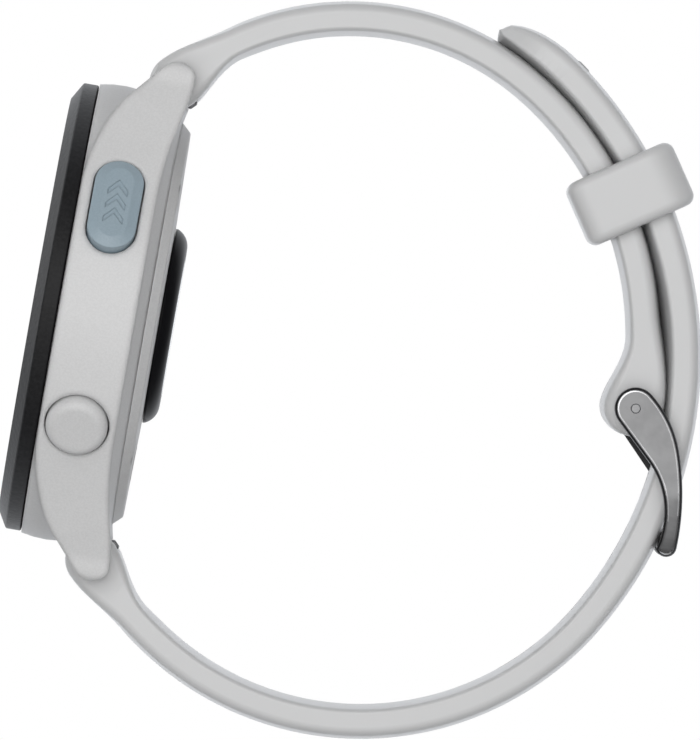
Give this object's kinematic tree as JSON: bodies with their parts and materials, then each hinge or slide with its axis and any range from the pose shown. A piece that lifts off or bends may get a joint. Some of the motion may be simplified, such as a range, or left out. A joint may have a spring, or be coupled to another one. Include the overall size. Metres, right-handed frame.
{
  "type": "gps running watch",
  "caption": "Round light grey sports watch with a black bezel, a blue-grey start button, a closed silicone strap with a dark steel pin buckle and an optical sensor on the back.",
  "frame": {"origin": "centre of the sensor window's wrist face", "axes": "+Z points out of the display, +Y to 12 o'clock, +X to 3 o'clock"},
  "size_m": [0.0455, 0.0704, 0.064],
  "materials": {
    "case_polymer": "fine satin light grey polymer",
    "bezel_polymer": "fine grained black polymer",
    "lens_glass": "clear strengthened glass",
    "display_black": "dark emissive panel",
    "silicone": "soft matte light grey silicone",
    "seal_rubber": "black seal rubber",
    "start_blue": "satin blue-grey polymer",
    "button_grey": "satin light grey polymer",
    "steel": "plain stainless steel",
    "dark_steel": "dark blasted stainless steel",
    "sensor_gloss": "polished black",
    "sensor_glass": "dark sensor window",
    "board_green": "solder mask",
    "shield_tin": "tin plated",
    "cell_wrap": "foil wrapped cell",
    "chassis_grey": "glass filled nylon",
    "antenna_metal": "plated ring",
    "gold_pad": "gold plated",
    "led_clear": "clear emitter",
    "diode_dark": "coated detector"
  },
  "bodies": {
    "case": {"back_cover": "case_polymer", "back_cover_gasket": "seal_rubber", "back_cover_screws": "steel", "barometer_vent": "chassis_grey", "battery_cell": "cell_wrap", "bezel_ring": "bezel_polymer", "board_shields": "shield_tin", "buzzer_disc": "shield_tin", "charging_contacts": "gold_pad", "cover_glass": "lens_glass", "display_flex": "board_green", "display_panel": "display_black", "glass_gasket": "seal_rubber", "gps_antenna_ring": "antenna_metal", "inner_chassis": "chassis_grey", "main_board": "board_green", "mid_case": "case_polymer", "sensor_board": "board_green", "sensor_hump": "sensor_gloss", "sensor_leds": "led_clear", "sensor_photodiodes": "diode_dark", "sensor_window": "sensor_glass", "tact_switches": "shield_tin", "vibration_motor": "shield_tin"},
    "start_button": {"start_button_cap": "start_blue", "start_button_seal": "seal_rubber", "start_button_clip": "steel"},
    "back_button": {"back_button_cap": "button_grey", "back_button_seal": "seal_rubber", "back_button_clip": "steel"},
    "light_button": {"light_button_cap": "button_grey", "light_button_seal": "seal_rubber", "light_button_clip": "steel"},
    "up_button": {"up_button_cap": "button_grey", "up_button_seal": "seal_rubber", "up_button_clip": "steel"},
    "down_button": {"down_button_cap": "button_grey", "down_button_seal": "seal_rubber", "down_button_clip": "steel"},
    "upper_strap": {"upper_strap": "silicone", "upper_spring_bar": "steel", "buckle_pin": "steel"},
    "lower_strap": {"lower_strap": "silicone", "lower_spring_bar": "steel"},
    "upper_release": {"upper_release_pin": "steel"},
    "lower_release": {"lower_release_pin": "steel"},
    "buckle_frame": {"buckle_frame": "dark_steel"},
    "buckle_tang": {"buckle_tang": "dark_steel"},
    "keeper": {"keeper_loop": "silicone"}
  },
  "joints": [
    {"name": "start_press", "type": "slide", "parent": "case", "child": "start_button", "axis": [-0.8846, -0.4664, 0], "range_m": [0, 0.0004], "stiffness_N_per_m": 1500},
    {"name": "back_press", "type": "slide", "parent": "case", "child": "back_button", "axis": [-0.8788, 0.4772, 0], "range_m": [0, 0.0004], "stiffness_N_per_m": 1500},
    {"name": "light_press", "type": "slide", "parent": "case", "child": "light_button", "axis": [0.8788, -0.4772, 0], "range_m": [0, 0.0004], "stiffness_N_per_m": 1500},
    {"name": "up_press", "type": "slide", "parent": "case", "child": "up_button", "axis": [1, 0, 0], "range_m": [0, 0.0004], "stiffness_N_per_m": 1500},
    {"name": "down_press", "type": "slide", "parent": "case", "child": "down_button", "axis": [0.8788, 0.4772, 0], "range_m": [0, 0.0004], "stiffness_N_per_m": 1500},
    {"name": "upper_strap_swing", "type": "hinge", "parent": "case", "child": "upper_strap", "pos_m": [0, 0.0232, 0.00385], "axis": [1, 0, 0], "range_deg": [0, 35], "deforming": ["lower_strap"]},
    {"name": "lower_strap_swing", "type": "hinge", "parent": "case", "child": "lower_strap", "pos_m": [0, -0.0232, 0.00385], "axis": [-1, 0, 0], "range_deg": [0, 35], "deforming": ["lower_strap"]},
    {"name": "upper_release_slide", "type": "slide", "parent": "upper_strap", "child": "upper_release", "axis": [-1, 0, 0], "range_m": [0, 0.0015], "stiffness_N_per_m": 400},
    {"name": "lower_release_slide", "type": "slide", "parent": "lower_strap", "child": "lower_release", "axis": [-1, 0, 0], "range_m": [0, 0.0015], "stiffness_N_per_m": 400},
    {"name": "buckle_frame_hinge", "type": "hinge", "parent": "upper_strap", "child": "buckle_frame", "pos_m": [0, 0.0001, -0.04453], "axis": [1, 0, 0], "range_deg": [0, 25], "deforming": ["lower_strap"]},
    {"name": "buckle_tang_hinge", "type": "hinge", "parent": "buckle_frame", "child": "buckle_tang", "pos_m": [0, 0.0001, -0.04453], "axis": [1, 0, 0], "range_deg": [0, 20], "deforming": ["lower_strap"]},
    {"name": "keeper_slide", "type": "hinge", "parent": "upper_strap", "child": "keeper", "pos_m": [0, 0.00171, -0.01323], "axis": [1, 0, 0], "range_deg": [-2, 2], "deforming": ["lower_strap"]}
  ]
}
